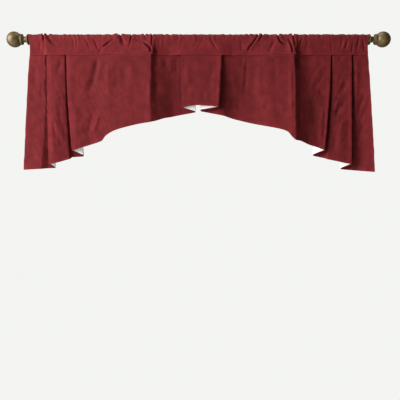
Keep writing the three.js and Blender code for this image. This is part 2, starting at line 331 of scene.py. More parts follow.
def cloth_place(tree):
    """A place on the flat cloth, in metres."""
    node = tree.nodes.new("ShaderNodeUVMap")
    node.uv_map = "cloth"
    return node.outputs["UV"]


def stretched(tree, place, scale):
    """A place scaled by another amount in each direction, for noise in streaks."""
    return add_node(tree, "ShaderNodeMapping", links={"Vector": place}, Scale=scale).outputs["Vector"]


def attribute(tree, name):
    node = tree.nodes.new("ShaderNodeAttribute")
    node.attribute_name = name
    return node.outputs["Fac"]


def weave(tree, cloth):
    threads = add_node(tree, "ShaderNodeVectorMath", links={0: cloth})
    threads.operation = "SCALE"
    threads.inputs["Scale"].default_value = 2 * math.pi / WEAVE_PITCH
    turns = add_node(tree, "ShaderNodeSeparateXYZ", links={"Vector": threads.outputs["Vector"]})
    warp = calculate(tree, "SINE", turns.outputs["X"])
    weft = calculate(tree, "SINE", turns.outputs["Y"])
    return calculate(tree, "MULTIPLY", warp, weft)


print("cloth of", WEAVE_PITCH, "m threads")

# %% [markdown]
# The face cloth is a dark red with a brushed, suede-like nap, and a tone-on-tone scroll is barely visible
# in it. A spiral needs no picture: its line is where the distance from its middle and the angle round it
# keep step. Rows are set half a step apart, and every second row turns the other way.

# %% Scroll in the nap
SCROLL_PITCH = (0.078, 0.092)
SCROLL_TURN = 0.0085
SCROLL_REACH = 0.019
SCROLL_LINE, SCROLL_SOFT = 0.34, 0.1
ROWS_BEFORE = 40


def scroll_mask(tree, cloth):
    """How strongly the scroll is drawn at a place on the cloth."""
    split = add_node(tree, "ShaderNodeSeparateXYZ", links={"Vector": cloth})
    down = calculate(tree, "DIVIDE", split.outputs["Y"], SCROLL_PITCH[1])
    row = calculate(tree, "FLOOR", calculate(tree, "ADD", down, ROWS_BEFORE))
    odd = calculate(tree, "MODULO", row, 2)
    across = calculate(tree, "DIVIDE", split.outputs["X"], SCROLL_PITCH[0])
    across = calculate(tree, "MULTIPLY_ADD", odd, 0.5, across)
    turn_way = calculate(tree, "MULTIPLY_ADD", odd, -2, 1)
    x = calculate(tree, "SUBTRACT", calculate(tree, "FRACT", across), 0.5)
    x = calculate(tree, "MULTIPLY", calculate(tree, "MULTIPLY", x, SCROLL_PITCH[0]), turn_way)
    y = calculate(tree, "SUBTRACT", calculate(tree, "FRACT", down), 0.5)
    y = calculate(tree, "MULTIPLY", y, SCROLL_PITCH[1])
    square = calculate(tree, "MULTIPLY_ADD", y, y, calculate(tree, "MULTIPLY", x, x))
    far = calculate(tree, "SQRT", square)
    angle = calculate(tree, "DIVIDE", calculate(tree, "ARCTAN2", y, x), 2 * math.pi)
    phase = calculate(tree, "ADD", calculate(tree, "DIVIDE", far, SCROLL_TURN), angle)
    phase = calculate(tree, "FRACT", phase)
    line = calculate(tree, "ABSOLUTE", calculate(tree, "SUBTRACT", phase, 0.5))
    drawn = calculate(tree, "SMOOTH_MAX", calculate(tree, "SUBTRACT", SCROLL_LINE, line), 0, SCROLL_SOFT)
    near = calculate(tree, "LESS_THAN", far, SCROLL_REACH)
    return calculate(tree, "MULTIPLY", drawn, near)


print("scrolls", SCROLL_PITCH, "m apart")

# %% [markdown]
# From a step away the nap shows as soft lighter and darker clouds, so the colour mixes clouds, fine fibres,
# streaks and the faint scroll. Sheen lifts the colour where the cloth turns away, as brushed fibres do. The
# hem attribute, the distance to an edge or to a pressed pleat, paints a highlight along the fold there. A
# second attribute lifts or lowers the tone: a shift over each piece, with patches of painted shade and
# painted light. The crease attribute paints shade into sharp creases and the gaps of the pleats, where real
# cloth closes on itself and no light gets in, which a sheet of points can't show.

# %% Face cloth
CLOTH_SHADE = (0.1, 0.008, 0.01)
CLOTH_BODY = (0.137, 0.0113, 0.0141)
CLOTH_LIGHT = (0.178, 0.0157, 0.0195)
# Painted shade: the colour that deep creases and pleat gaps are darkened towards.
CLOTH_PAINTED_SHADE = (0.016, 0.001, 0.0008)
CLOUD_SHARE, FIBRE_SHARE, STREAK_SHARE, SCROLL_SHARE = 0.6, 0.25, 0.15, 0.16
# Painted highlight along the hem, the side edges and the pressed edges of the pleats.
EDGE_HIGHLIGHT_LIFT, EDGE_HIGHLIGHT_FROM, EDGE_HIGHLIGHT_TO = 0.14, 0.002, 0.008
FACE_WEAVE = 0.12

face_cloth, tree, shader = new_finish(
    "face_cloth", Roughness=0.85, Sheen_Weight=0.06, Sheen_Roughness=0.4, Sheen_Tint=(0.8, 0.22, 0.25, 1))
shader.inputs["Specular IOR Level"].default_value = 0.15
cloth = cloth_place(tree)
clouds = cloudy(tree, cloth, scale=32.0, detail=5.0, roughness=0.6)
fibres = cloudy(tree, cloth, scale=650.0, detail=2.0, roughness=0.6)
streaks = cloudy(tree, stretched(tree, cloth, (90.0, 14.0, 1.0)), scale=1.0, detail=2.0)
nap = calculate(tree, "MULTIPLY", clouds, CLOUD_SHARE)
nap = calculate(tree, "MULTIPLY_ADD", fibres, FIBRE_SHARE, nap)
nap = calculate(tree, "MULTIPLY_ADD", streaks, STREAK_SHARE, nap)
nap = calculate(tree, "MULTIPLY_ADD", scroll_mask(tree, cloth), SCROLL_SHARE, nap)
# Paint a highlight near each edge.
painted_edge_highlight = add_node(tree, "ShaderNodeMapRange", links={"Value": attribute(tree, "hem")},
                  From_Min=EDGE_HIGHLIGHT_FROM, From_Max=EDGE_HIGHLIGHT_TO, To_Min=EDGE_HIGHLIGHT_LIFT, To_Max=0.0)
nap = calculate(tree, "ADD", nap, painted_edge_highlight.outputs["Result"])
# Tone shift over each piece, with patches of painted shade and painted light.
nap = calculate(tree, "ADD", nap, attribute(tree, "tone_and_painted_shade"))
tone = graded(tree, nap, (0.35, CLOTH_SHADE), (0.68, CLOTH_LIGHT), (0.52, CLOTH_BODY))
# Paint shade into deep creases and the gaps of the pleats.
painted_crease_shade = add_node(tree, "ShaderNodeMix", links={"Factor": attribute(tree, "crease")})
painted_crease_shade.data_type = "RGBA"
painted_crease_shade.inputs["B"].default_value = (*CLOTH_PAINTED_SHADE, 1)
tree.links.new(tone, painted_crease_shade.inputs["A"])
tree.links.new(painted_crease_shade.outputs["Result"], shader.inputs["Base Color"])
relief = calculate(tree, "MULTIPLY_ADD", weave(tree, cloth), FACE_WEAVE, fibres)
add_bump(tree, shader, relief, strength=0.35, distance=0.0006)
print("face cloth ready")

# %% [markdown]
# The lining is a plain white cotton weave. It shows only as small white wedges inside the open pleats and,
# from behind, all over the skirt. Faint clouds, thicker threads and a weave bump keep it from looking like
# paper.

# %% Lining cloth
LINING_SHADE = (0.88, 0.88, 0.88)
LINING_LIGHT = (0.97, 0.97, 0.98)
SLUB_SHARE = 0.4
LINING_WEAVE = 0.2

lining_cloth, tree, shader = new_finish("lining_cloth", Roughness=0.9, Sheen_Weight=0.1)
shader.inputs["Specular IOR Level"].default_value = 0.2
cloth = cloth_place(tree)
clouds = cloudy(tree, cloth, scale=40.0, detail=4.0)
slubs = cloudy(tree, stretched(tree, cloth, (30.0, 900.0, 1.0)), scale=1.0, detail=2.0)
grey = calculate(tree, "MULTIPLY_ADD", slubs, SLUB_SHARE, clouds)
tone = graded(tree, grey, (0.45, LINING_SHADE), (0.95, LINING_LIGHT))
tree.links.new(tone, shader.inputs["Base Color"])
relief = calculate(tree, "MULTIPLY_ADD", weave(tree, cloth), LINING_WEAVE, slubs)
add_bump(tree, shader, relief, strength=0.3, distance=0.0005)
print("lining cloth ready")

# %% [markdown]
# The skirt is one long piece of cloth, laid into folds at the seam and left to hang. A maker chalks such
# folds on the flat cloth, and they are listed in the same way here, from left to right, in millimetres,
# with y to the back. A line is a soft bend down a panel: its place and depth at the seam and at the hem,
# how far it drops and how widely the cloth bends there. A late line keeps its place at the seam until near
# the hem. A pleat has the fold that shows, its edge, and the hidden fold behind it, its tip. Open is how
# far its layers hang apart at the hem, dark how black the gap behind the edge gets, and reach how far that
# shade spreads beside the edge.

# %% Lines and pleats of the skirt
Line = namedtuple("Line", "x_seam x_hem y_seam y_hem drop bend late", defaults=[False])
Pleat = namedtuple("Pleat", "edge_seam edge_hem tip_seam tip_hem edge_drop tip_drop open dark reach")

PANELS = {
    "left_outer": [
        Line(-622, -642.5, 2.5, -3, 426, 0),
        Line(-563, -577, -0.5, -11, 423, 4, True),
        Line(-559.5, -554.5, 1, 3, 420, 2.5, True),
    ],
    "left_middle": [
        Line(-521, -520, -5.5, -13, 401, 14),
        Line(-491.5, -474, -3.5, -7, 387, 3.5),
        Line(-487.8, -467, 2.5, 8, 379, 2.5),
    ],
    "left_scallop": [
        Line(-428, -418, -5.5, -15, 343, 24),
        Line(-369, -390, -6, -14.5, 334, 18),
        Line(-356, -364, -7.5, -17, 326, 8),
        Line(-347, -351, -9, -18.5, 321, 6),
        Line(-338, -341, -10, -19.5, 305, 7),
        Line(-326, -328, -11.5, -21, 294, 10),
        Line(-304, -304, -13, -22.5, 282, 18),
        Line(-264, -264, -15, -25, 271, 24),
        Line(-216, -216, -17, -28, 260, 22),
        Line(-173, -173, -18, -32, 254, 4),
        Line(-166, -150, -3.5, -21, 247, 6),
        Line(-128, -126, 2.5, -9, 237, 18),
        Line(-100, -98, 2.5, 5, 231, 12),
        Line(-78, -77, 2.5, 6, 226, 8),
    ],
    "centre": [
        Line(-34, -32, -5.5, -13, 192, 22),
        Line(2, 1, -6, -14.5, 190, 20),
        Line(40, 38, -5.5, -16, 193, 20),
    ],
    "right_scallop": [
        Line(94, 91, 2.5, 5, 226, 6),
        Line(134, 126, 3.5, 15, 237, 22),
        Line(192, 188, 1, 8, 253, 14),
        Line(218, 216, -3, 0, 260, 18),
        Line(254, 253, -10.5, -13.5, 268, 26),
        Line(304, 303, -13.5, -23, 279, 20),
        Line(331, 325, -17, -30, 289, 8),
        Line(342, 338.5, -19.5, -35, 308, 6),
        Line(352, 351, -21.5, -38, 320, 4),
        Line(357, 372, -1.5, -26, 322, 7),
        Line(394, 404, 2, -8, 335, 14),
        Line(426, 438, -5.5, -5.5, 344, 10),
    ],
    "right_middle": [
        Line(490, 466, 2.5, 8, 383, 2.5),
        Line(493, 473, -4.5, -1, 387, 4),
        Line(513, 507, -5.5, -9, 395, 12),
    ],
    "right_outer": [
        Line(566, 567, 2.5, 9, 427, 2.5),
        Line(569.5, 590, -3.5, 7, 429, 8),
        Line(600, 616, -3.5, -7, 432, 12),
        Line(620.5, 642, -6, -22, 435, 0),
    ],
}
PLEATS = [
    Pleat(-558.5, -550.5, -526, -526, 407, 419, 17, 0.25, 6),
    Pleat(-487, -466, -441, -422, 358, 376, 26, 0.15, 5),
    Pleat(-66, -62, -11, -11, 200, 214, 13, 0, 6),
    Pleat(86, 80, 6, 4, 198, 208, 34, 0.55, 24),
    Pleat(488, 464, 440, 420, 357, 373, 26, 0.92, 11),
    Pleat(564, 564, 521, 522, 407, 423, 24, 0.92, 14),
]
print(sum(len(lines) for lines in PANELS.values()), "lines and", len(PLEATS), "pleats")

# %% [markdown]
# Each row of the skirt is the same share of the way from the seam to the hem, with rows closer together at
# the seam, where the cloth is tucked under the band. In a row, every line is one soft bend and every pleat
# is two tight ones, and straight cloth runs between them. A cloth simulation could hang the folds too, but
# they have to lie where the solids have them, so each fold is placed: it opens and sways as it falls, with
# a small wobble of its own.

# %% Folds as bends
SEAM_HEIGHT = -53.7
LAYER_FRONT, LAYER_MIDDLE, LAYER_BACK = -5.5, -1.5, 2.5
EDGE_SHARE, FOLD_SHARE, HOOK_SHARE = 0.6, 0.3, 0.6
WOBBLE, WOBBLE_LENGTH, WOBBLE_APART, WOBBLE_FALL = 1.4, 34.0, 3.0, 30.0
HANG_POWER, SWAY_POWER, SIDE_POWER, LATE_POWER = 1.5, 1.7, 0.8, 3.2
BEND_STEPS, FOLD_STEPS = 6, 9
SKIRT_ROWS = 84
SEAM_SHARES = [0, 0.007, *np.linspace(0.013, 0.03, 8)]
SEAM_TURN = 0.042

shares = np.array([*SEAM_SHARES, *np.linspace(SEAM_TURN, 1, SKIRT_ROWS)])
opened = 1 - (1 - shares) ** HANG_POWER
Bend = namedtuple("Bend", "corners size steps panel")


def down_the_cloth(x_seam, x_hem, y, drop, sway=SWAY_POWER):
    fall = shares * drop
    wobble = [noise.noise(Vector((z / WOBBLE_LENGTH, x_seam / WOBBLE_APART, drop))) for z in fall]
    x = mix(x_seam, x_hem, shares**sway) + WOBBLE * np.array(wobble) * np.minimum(fall / WOBBLE_FALL, 1)
    return np.stack([x, y, SEAM_HEIGHT - fall], axis=1)


def pleat_bends(p):
    front = mix(LAYER_FRONT, -p.open * EDGE_SHARE, opened)
    back = mix(LAYER_BACK, p.open * (1 - EDGE_SHARE), opened)
    fold = mix(LAYER_MIDDLE - LAYER_FRONT, p.open * FOLD_SHARE, opened)
    corners = [
        down_the_cloth(p.tip_seam, p.tip_hem, back, p.tip_drop),
        down_the_cloth(p.tip_seam, p.tip_hem, back - fold, p.tip_drop),
        down_the_cloth(p.edge_seam, p.edge_hem, front + fold, p.edge_drop),
        down_the_cloth(p.edge_seam, p.edge_hem, front, p.edge_drop),
    ]
    corners[2][:, 0] += np.sign(p.tip_seam - p.edge_seam) * HOOK_SHARE * fold
    if p.tip_seam < p.edge_seam:
        corners.reverse()
    return [Bend(corners[:2], fold, FOLD_STEPS, None), Bend(corners[2:], fold, FOLD_STEPS, None)]


def line_bend(line, panel):
    sway = LATE_POWER if line.late else SWAY_POWER if line.bend else SIDE_POWER
    y = mix(line.y_seam, line.y_hem, shares**LATE_POWER if line.late else opened)
    corner = down_the_cloth(line.x_seam, line.x_hem, y, line.drop, sway)
    return Bend([corner], line.bend, BEND_STEPS, panel)


def all_bends():
    bends = []
    for i, (panel, lines) in enumerate(PANELS.items()):
        bends += [line_bend(line, panel) for line in lines]
        bends += pleat_bends(PLEATS[i]) if i < len(PLEATS) else []
    return bends


bends = all_bends()
print(len(bends), "bends in each of", len(shares), "rows")

# %% [markdown]
# Now the cloth is drawn through its bends, column by column and for all rows at once. Bezier curves round
# each bend, because they keep to the corner that was marked. Cloth that hides inside a pleat gets wider
# steps, so that the fine steps are where they show. Each column remembers the panel that it belongs to.

# %% Fold the rows
BEND_LIMIT = 0.47
SHOWN_STEP, HIDDEN_STEP = 5.2, 14.0


def towards(start, end, size):
    far = np.linalg.norm(end - start, axis=1)
    return start + (end - start) * np.minimum(size / far, BEND_LIMIT)[:, None]


def bezier(points, steps):
    curve = []
    for t in np.linspace(0, 1, steps + 1):
        row = points
        while len(row) > 1:
            row = [mix(a, b, t) for a, b in zip(row, row[1:])]
        curve.append(row[0])
    return curve


def fold_columns():
    columns, owners = [bends[0].corners[0]], [bends[0].panel]
    for before, bend, after in zip(bends, bends[1:], [*bends[2:], None]):
        first, last = bend.corners[0], bend.corners[-1]
        start = first if after is None else towards(first, before.corners[-1], bend.size)
        owner = bend.panel or before.panel
        step = SHOWN_STEP if owner else HIDDEN_STEP
        length = np.linalg.norm(start - columns[-1], axis=1).mean()
        parts = max(1, round(length / step))
        straight = [mix(columns[-1], start, k / parts) for k in range(1, parts)]
        curve = [start]
        if after is not None:
            end = towards(last, after.corners[0], bend.size)
            curve = bezier([start, *bend.corners, end], bend.steps)
        columns += straight + curve
        owners += [owner] * len(straight) + [bend.panel] * len(curve)
    return np.stack(columns, axis=1), owners


folded, owners = fold_columns()
print("skirt grid of", folded.shape[0], "rows and", folded.shape[1], "columns")

# %% [markdown]
# Real cloth is never as even as its pattern. Creases come next: soft troughs and ridges along short paths,
# placed one by one, because noise alone can't tell where cloth pulls. A path is a few points (x, z) on the
# panel that shows it, as they are seen from the front on the plane of the rod. Width is half the crease's
# width where it starts and ends. A positive depth presses the cloth back and a negative one lifts it
# towards the viewer. Rise is how far the cloth beside a crease stands out, and taper the shares of the path
# over which its two ends fade.

# %% Creases of the skirt
Crease = namedtuple("Crease", "path width depth rise taper", defaults=[0.0, (0.3, 0.3)])

SKIRT_CREASES = {
    "left_outer": [
        Crease([(-560.5, -60), (-561, -100)], (2.4, 3), 2.2),
        Crease([(-561, -138), (-562, -170), (-561, -204)], (5, 5.5), 2.2),
        Crease([(-577, -164), (-579, -216)], (3.5, 4), 2),
        Crease([(-604, -90), (-600, -200)], (8, 12), 1.4),
    ],
    "left_middle": [
        Crease([(-506, -68), (-513, -100), (-520, -140)], (6, 11), 2.2),
        Crease([(-527, -296), (-512, -335), (-494, -380)], (5, 7), -2.6),
        Crease([(-545, -270), (-538, -360), (-533, -440)], (6, 9), -2),
        Crease([(-514, -318), (-511, -360), (-506, -410)], (5, 7), 1.4),
        Crease([(-519, -262), (-510, -290), (-500, -318)], (4, 5), 1.8),
        Crease([(-540, -290), (-532, -330), (-523, -374)], (4, 6), 1.6),
        Crease([(-552, -300), (-549, -350)], (4, 5), 1.6),
    ],
    "left_scallop": [
        Crease([(-372, -58), (-381, -112), (-393, -160), (-416, -210)], (7, 14), 5),
        Crease([(-358, -66), (-366, -118), (-376, -168)], (8, 13), -1.6),
        Crease([(-437, -250), (-429, -272), (-421, -300)], (4, 5), 1.5),
        Crease([(-425, -246), (-419, -270), (-412, -296)], (4, 5), 1.3),
        Crease([(-431, -300), (-428, -352)], (5, 6), -2.2),
        Crease([(-366, -270), (-376, -310), (-391, -350)], (6, 8), -2.4),
        Crease([(-386, -262), (-398, -310), (-408, -356)], (6, 9), 2.2),
        Crease([(-458, -220), (-450, -300), (-446, -380)], (8, 10), -1.8),
        Crease([(-440, -96), (-420, -112)], (9, 12), -1.6),
        Crease([(-304, -92), (-300, -150), (-306, -190)], (8, 12), 1.7),
        Crease([(-282, -96), (-272, -140), (-268, -190)], (14, 18), 2.2),
        Crease([(-334, -84), (-332, -150), (-330, -240)], (10, 14), -1.8),
        Crease([(-248, -70), (-246, -140), (-240, -210)], (12, 18), -1.5),
        Crease([(-182, -130), (-181, -190), (-181, -262)], (5, 6), -1.8),
        Crease([(-158, -60), (-156, -84)], (4, 5), 2.4),
        Crease([(-142, -60), (-141, -104)], (6, 8), -2),
        Crease([(-121, -60), (-121, -106)], (4, 6), 1.8),
        Crease([(-104, -60), (-102, -132)], (7, 10), -1.8),
        Crease([(-82, -62), (-80, -126)], (4, 6), 1.4),
        Crease([(-154, -146), (-152, -205)], (6, 8), 2.6),
    ],
    "centre": [
        Crease([(-44, -90), (-40, -180)], (9, 12), -1.6),
        Crease([(-18, -70), (-20, -130)], (8, 12), 1.2),
        Crease([(58, -84), (44, -150), (40, -200)], (9, 14), 1.6),
        Crease([(16, -190), (22, -228)], (6, 9), 1.6),
    ],
    "right_scallop": [
        Crease([(122, -108), (134, -170), (142, -246)], (12, 16), -3),
        Crease([(160, -56), (159, -106)], (4, 6), 2.2),
        Crease([(178, -64), (174, -140), (170, -214)], (6, 8), 3.2),
        Crease([(150, -222), (144, -262)], (5, 7), 2),
        Crease([(361, -48), (362, -70), (366, -112)], (6, 9), 6),
        Crease([(266, -62), (276, -76), (292, -66)], (5, 6), 2.2),
        Crease([(264, -56), (284, -60), (312, -56)], (5, 6), -2.4),
        Crease([(286, -90), (282, -130), (276, -170)], (8, 12), 1.8),
        Crease([(256, -208), (252, -262)], (9, 12), 2.2),
        Crease([(228, -84), (222, -150), (220, -230)], (9, 13), -1.8),
        Crease([(339, -80), (340, -180), (342, -300)], (6, 7), -1.8),
        Crease([(456, -78), (438, -110), (418, -146)], (4, 5), 1.8),
        Crease([(466, -112), (446, -150), (422, -192)], (4, 6), 2.2),
        Crease([(440, -92), (424, -122), (408, -152)], (4, 5), 1.6),
        Crease([(448, -100), (430, -132)], (4, 5), -1.8),
        Crease([(452, -180), (450, -204)], (7, 8), 2.6),
        Crease([(414, -206), (423, -256), (426, -330)], (11, 16), 4.4),
        Crease([(460, -230), (452, -310), (448, -390)], (7, 9), -2.6),
    ],
    "right_middle": [
        Crease([(520, -62), (524, -80)], (6, 7), 2.2),
        Crease([(530, -120), (520, -150), (508, -184)], (4, 5), 1.8),
        Crease([(550, -262), (536, -284), (520, -312)], (4, 5), 2.2),
        Crease([(541, -226), (520, -252), (496, -290)], (7, 9), 4.3),
        Crease([(552, -148), (536, -174), (520, -206)], (9, 11), 3.4),
        Crease([(516, -222), (500, -250)], (4, 5), -2),
        Crease([(532, -284), (524, -340), (522, -420)], (12, 16), -3.6),
        Crease([(503, -350), (499, -420)], (6, 8), 2.6),
    ],
    "right_outer": [
        Crease([(582, -60), (580, -190), (577, -330)], (6, 8), -3),
        Crease([(618, -244), (604, -280), (588, -324)], (5, 6), 2.9),
        Crease([(608, -306), (596, -338), (582, -376)], (6, 7), 3.3),
        Crease([(614, -196), (598, -236), (582, -282)], (5, 6), 3.1),
        Crease([(592, -380), (596, -470)], (9, 12), 2.4),
    ],
}
print(sum(len(creases) for creases in SKIRT_CREASES.values()), "creases placed")

# %% [markdown]
# A crease is pressed in as a sculpting brush would do it: along a stroke, with a soft fall-off. Its path is
# rounded through its points, and each place on the cloth finds how far it is from the path and how far
# along. It moves fully on the path and softly less to the sides and towards both ends, a little unevenly
# along the way. Deep creases also get painted shade, most along their middle line.

# %% Strokes along a path
PATH_STEPS = 5
UNEVEN, UNEVEN_LENGTH, UNEVEN_SEED = 0.45, 22.0, 4.0
UNEVEN_STEPS, CREASES_APART = 60, 7.7
PUFF_SHARE = 3.8
# How deep a crease must be to get painted shade, and how narrow that painted shade is.
PAINTED_SHADE_FROM, PAINTED_SHADE_AT, PAINTED_SHADE_SHARE = 3.0, 14.0, 0.7


def ease(start, end, value):
    share = np.clip((value - start) / (end - start), 0.0, 1.0)
    return share * share * (3 - 2 * share)


def soft_path(points):
    """Points along a round curve through a few points."""
    points = np.array(points, float)
    ends = [2 * points[0] - points[1], *points, 2 * points[-1] - points[-2]]
    path = []
    for a, b, c, d in zip(ends, ends[1:], ends[2:], ends[3:]):
        for t in np.linspace(0, 1, PATH_STEPS, endpoint=False):
            turn = 2 * a - 5 * b + 4 * c - d + t * (3 * (b - c) + d - a)
            path.append(b + 0.5 * t * (c - a + t * turn))
    return np.array([*path, points[-1]])


def near_path(places, path):
    """Each place's distance to a path, and how far along the path it is, from 0 to 1."""
    gap = np.full(len(places), np.inf)
    along = np.zeros(len(places))
    for i, (a, b) in enumerate(zip(path, path[1:])):
        run = b - a
        t = np.clip((places - a) @ run / (run @ run), 0, 1)
        here = np.linalg.norm(places - a - t[:, None] * run, axis=1)
        closer = here < gap
        gap[closer] = here[closer]
        along[closer] = (i + t[closer]) / (len(path) - 1)
    return gap, along


def unevenness(path, number):
    """How much of its depth a crease keeps along its path, at even shares of its length."""
    length = np.linalg.norm(np.diff(path, axis=0), axis=1).sum()
    sample = np.linspace(0, 1, UNEVEN_STEPS)
    spots = [(t * length / UNEVEN_LENGTH, CREASES_APART * number, UNEVEN_SEED) for t in sample]
    return sample, [1 + UNEVEN * noise.noise(Vector(spot)) for spot in spots]


def pressed(places, creases):
    """How far creases move each place, and how much painted shade goes there, from 0 to 1."""
    move = np.zeros(len(places))
    painted_shade = np.zeros(len(places))
    for number, crease in enumerate(creases):
        path = soft_path(crease.path)
        gap, along = near_path(places, path)
        taper = ease(0, crease.taper[0], along) * ease(0, crease.taper[1], 1 - along)
        taper = taper * np.interp(along, *unevenness(path, number))
        off = gap / mix(crease.width[0], crease.width[1], along)
        trough, puff = np.exp(-(off**2)), np.exp(-((off / PUFF_SHARE) ** 2))
        move += taper * (crease.depth * trough - crease.rise * puff)
        deep = np.clip((crease.depth - PAINTED_SHADE_FROM) / (PAINTED_SHADE_AT - PAINTED_SHADE_FROM), 0, 1)
        painted_shade = np.maximum(painted_shade, taper * deep * np.exp(-((off / PAINTED_SHADE_SHARE) ** 2)))
    return move, painted_shade


print("strokes ready")

# %% [markdown]
# A few measures of a grid of points are needed for every sheet: where the camera sees each point on the
# plane of the rod, which way is off the cloth, how long the cloth is along a row and down a column, and
# slow noise over it.

# %% Measures of a grid
def seen(grid):
    """Where each point is seen from the camera, as (x, z) on the plane of the rod."""
    eye = np.array(CAMERA_AT) / MM
    return eye[[0, 2]] + (grid[..., [0, 2]] - eye[[0, 2]]) * (eye[1] / (eye[1] - grid[..., 1:2]))


def lay_off(grid):
    """The normal at each point of a grid whose rows run down, towards the back of the cloth."""
    along = np.gradient(grid, axis=1)
    down = np.gradient(grid, axis=0)
    normal = np.cross(along, down)
    return normal / np.linalg.norm(normal, axis=2)[:, :, None]


def run_along(grid):
    """Flat length along the cloth to each column, as the mean of all rows."""
    steps = np.linalg.norm(np.diff(grid, axis=1), axis=2).mean(axis=0)
    return np.concatenate([[0], np.cumsum(steps)])


def fall_down(grid):
    """Flat length down the cloth to each point, from the first row."""
    steps = np.linalg.norm(np.diff(grid, axis=0), axis=2)
    return np.vstack([np.zeros(grid.shape[1]), steps.cumsum(axis=0)])


def wave(x, z, height, lengths, seed):
    spots = [(a / lengths[0], b / lengths[1], seed) for a, b in zip(x, z)]
    return height * np.array([noise.noise(Vector(spot)) for spot in spots])


print("skirt is", round(run_along(folded)[-1]), "mm wide before it is creased")

# %% [markdown]
# The skirt's top edge is sewn behind the band's front edge, which wavers a little, as any sewn edge does.
# On the real cloth the seam is pressed flat. Here the skirt steps back by about a millimetre under the
# band, most where it puffs out in front of the seam, so that the band above lies flush with it.

# %% Tuck the skirt under the band
FRONT_LAP = 5.0
EDGE_WAVE, EDGE_LENGTHS = 0.8, (70.0, 900.0)
PUFFS, PUFF_EASE = [(-352, -174), (196, 352)], (14, 8)
TUCK_DEPTHS, TUCK_GROOVE = (0.9, 1.0), (0.4, 1.3)


def band_edge(x):
    """Height of the band's front edge, which is sewn on a little unevenly."""
    return SEAM_HEIGHT - FRONT_LAP + wave(x, x, EDGE_WAVE, EDGE_LENGTHS, seed=2.0)


def in_puff(x, low, high):
    return ease(low, low + PUFF_EASE[0], x) * (1 - ease(high - PUFF_EASE[1], high, x))


def tucked(grid):
    x, z = grid[..., 0], grid[..., 2]
    puffed = sum(in_puff(x, low, high) for low, high in PUFFS)
    groove, lowest = [band_edge(x[0]) - below for below in TUCK_GROOVE]
    back = mix(*TUCK_DEPTHS, puffed) * ease(lowest, groove, z)
    return grid + back[:, :, None] * np.array([0, 1, 0])


tucked_folds = tucked(folded)
print("skirt tucked back by up to", round(float((tucked_folds - folded).max()), 2), "mm")

# %% [markdown]
# Each panel is creased by itself, so that a crease never jumps over a pleat to the cloth beside it. Creases
# fade out where a panel turns into a pleat and where it is sewn to the band. Slow noise adds the waves that
# any hung cloth has, and slanted ripples, which pull from the seam, are strongest in the outer panels.

# %% Press the creases in
PANEL_FADE = 14.0
SEWN_FALL = (5.0, 13.0)
HANG_FALL = 120.0
CREASE_SHARE = 1.2
WAVE_HEIGHT, WAVE_LENGTHS = 1.3, (42.0, 150.0)
RIPPLE_HEIGHT, RIPPLE_LENGTHS, RIPPLE_LEAN = 1.4, (8.0, 46.0), 0.4
RIPPLE_FROM, RIPPLE_CALM = (280, 430), 0.35


def hung_waves(x, z):
    """Slow waves and slanted ripples, growing from the seam down."""
    hang = ease(0, HANG_FALL, SEAM_HEIGHT - z)
    out = np.abs(x)
    tight = mix(RIPPLE_CALM, 1.0, ease(*RIPPLE_FROM, out))
    ripples = wave(out - RIPPLE_LEAN * z, z, RIPPLE_HEIGHT, RIPPLE_LENGTHS, seed=8.0)
    return hang * wave(x, z, WAVE_HEIGHT, WAVE_LENGTHS, seed=3.0) + hang * tight * ripples


def creased(grid):
    flat = run_along(grid)
    move = np.zeros(grid.shape[:2])
    painted_shade = np.zeros(grid.shape[:2])
    for panel, creases in SKIRT_CREASES.items():
        mine = np.array([i for i, owner in enumerate(owners) if owner == panel])
        from_left, to_right = flat[mine] - flat[mine[0]], flat[mine[-1]] - flat[mine]
        fade = ease(0, PANEL_FADE, from_left) * ease(0, PANEL_FADE, to_right)
        free = ease(*SEWN_FALL, SEAM_HEIGHT - grid[:, mine, 2])
        places = seen(grid[:, mine]).reshape(-1, 2)
        dent, dark = pressed(places, creases)
        dent = CREASE_SHARE * dent + hung_waves(*places.T)
        move[:, mine] = dent.reshape(grid.shape[0], -1) * fade * free
        painted_shade[:, mine] = dark.reshape(grid.shape[0], -1) * fade
    return grid + lay_off(grid) * move[:, :, None], painted_shade


skirt_folds, skirt_painted_shade = creased(tucked_folds)
print("creases move the cloth by up to", round(float(np.abs(skirt_folds - folded).max()), 1), "mm")

# %% [markdown]
# Beside the edge of a closed pleat the real cloth is almost black, because no light gets between its
# layers. Sheets of points can't lie as close, so the cloth behind each edge, and a ragged strip beside it,
# is darkened through the same attribute as the deep creases. The shade ends above the hem, where the pleat
# opens.

# %% Shade in the pleats
GAP_DEPTH, GAP_BEHIND, GAP_END = 60.0, (1.5, 8), (0.86, 0.96)
GAP_UNEVEN, GAP_LENGTH, GAP_SEED = 0.7, 26.0, 9.0


def gap_shade(grid):
    """How dark the cloth is behind each pleat's edge and in the narrow gap beside it."""
    shade = np.zeros(grid.shape[:2])
    names = list(PANELS)
    for p, left, right in zip(PLEATS, names, names[1:]):
        flap = right if p.tip_seam > p.edge_seam else left
        hidden = np.array([owner != flap for owner in owners])
        edge_x = mix(p.edge_seam, p.edge_hem, shares**SWAY_POWER)[:, None]
        edge_y = mix(LAYER_FRONT, -p.open * EDGE_SHARE, opened)[:, None]
        inward = (grid[..., 0] - edge_x) * np.sign(p.tip_seam - p.edge_seam)
        spots = [(fall / GAP_LENGTH, p.edge_seam, GAP_SEED) for fall in shares * p.edge_drop]
        ragged = np.array([1 + GAP_UNEVEN * noise.noise(Vector(spot)) for spot in spots])
        near = ease(-p.reach * ragged[:, None], 0, inward) * (inward < GAP_DEPTH)
        behind = ease(*GAP_BEHIND, grid[..., 1] - edge_y)
        shade = np.maximum(shade, hidden * p.dark * near * behind)
    return shade * (1 - ease(*GAP_END, shares))[:, None]


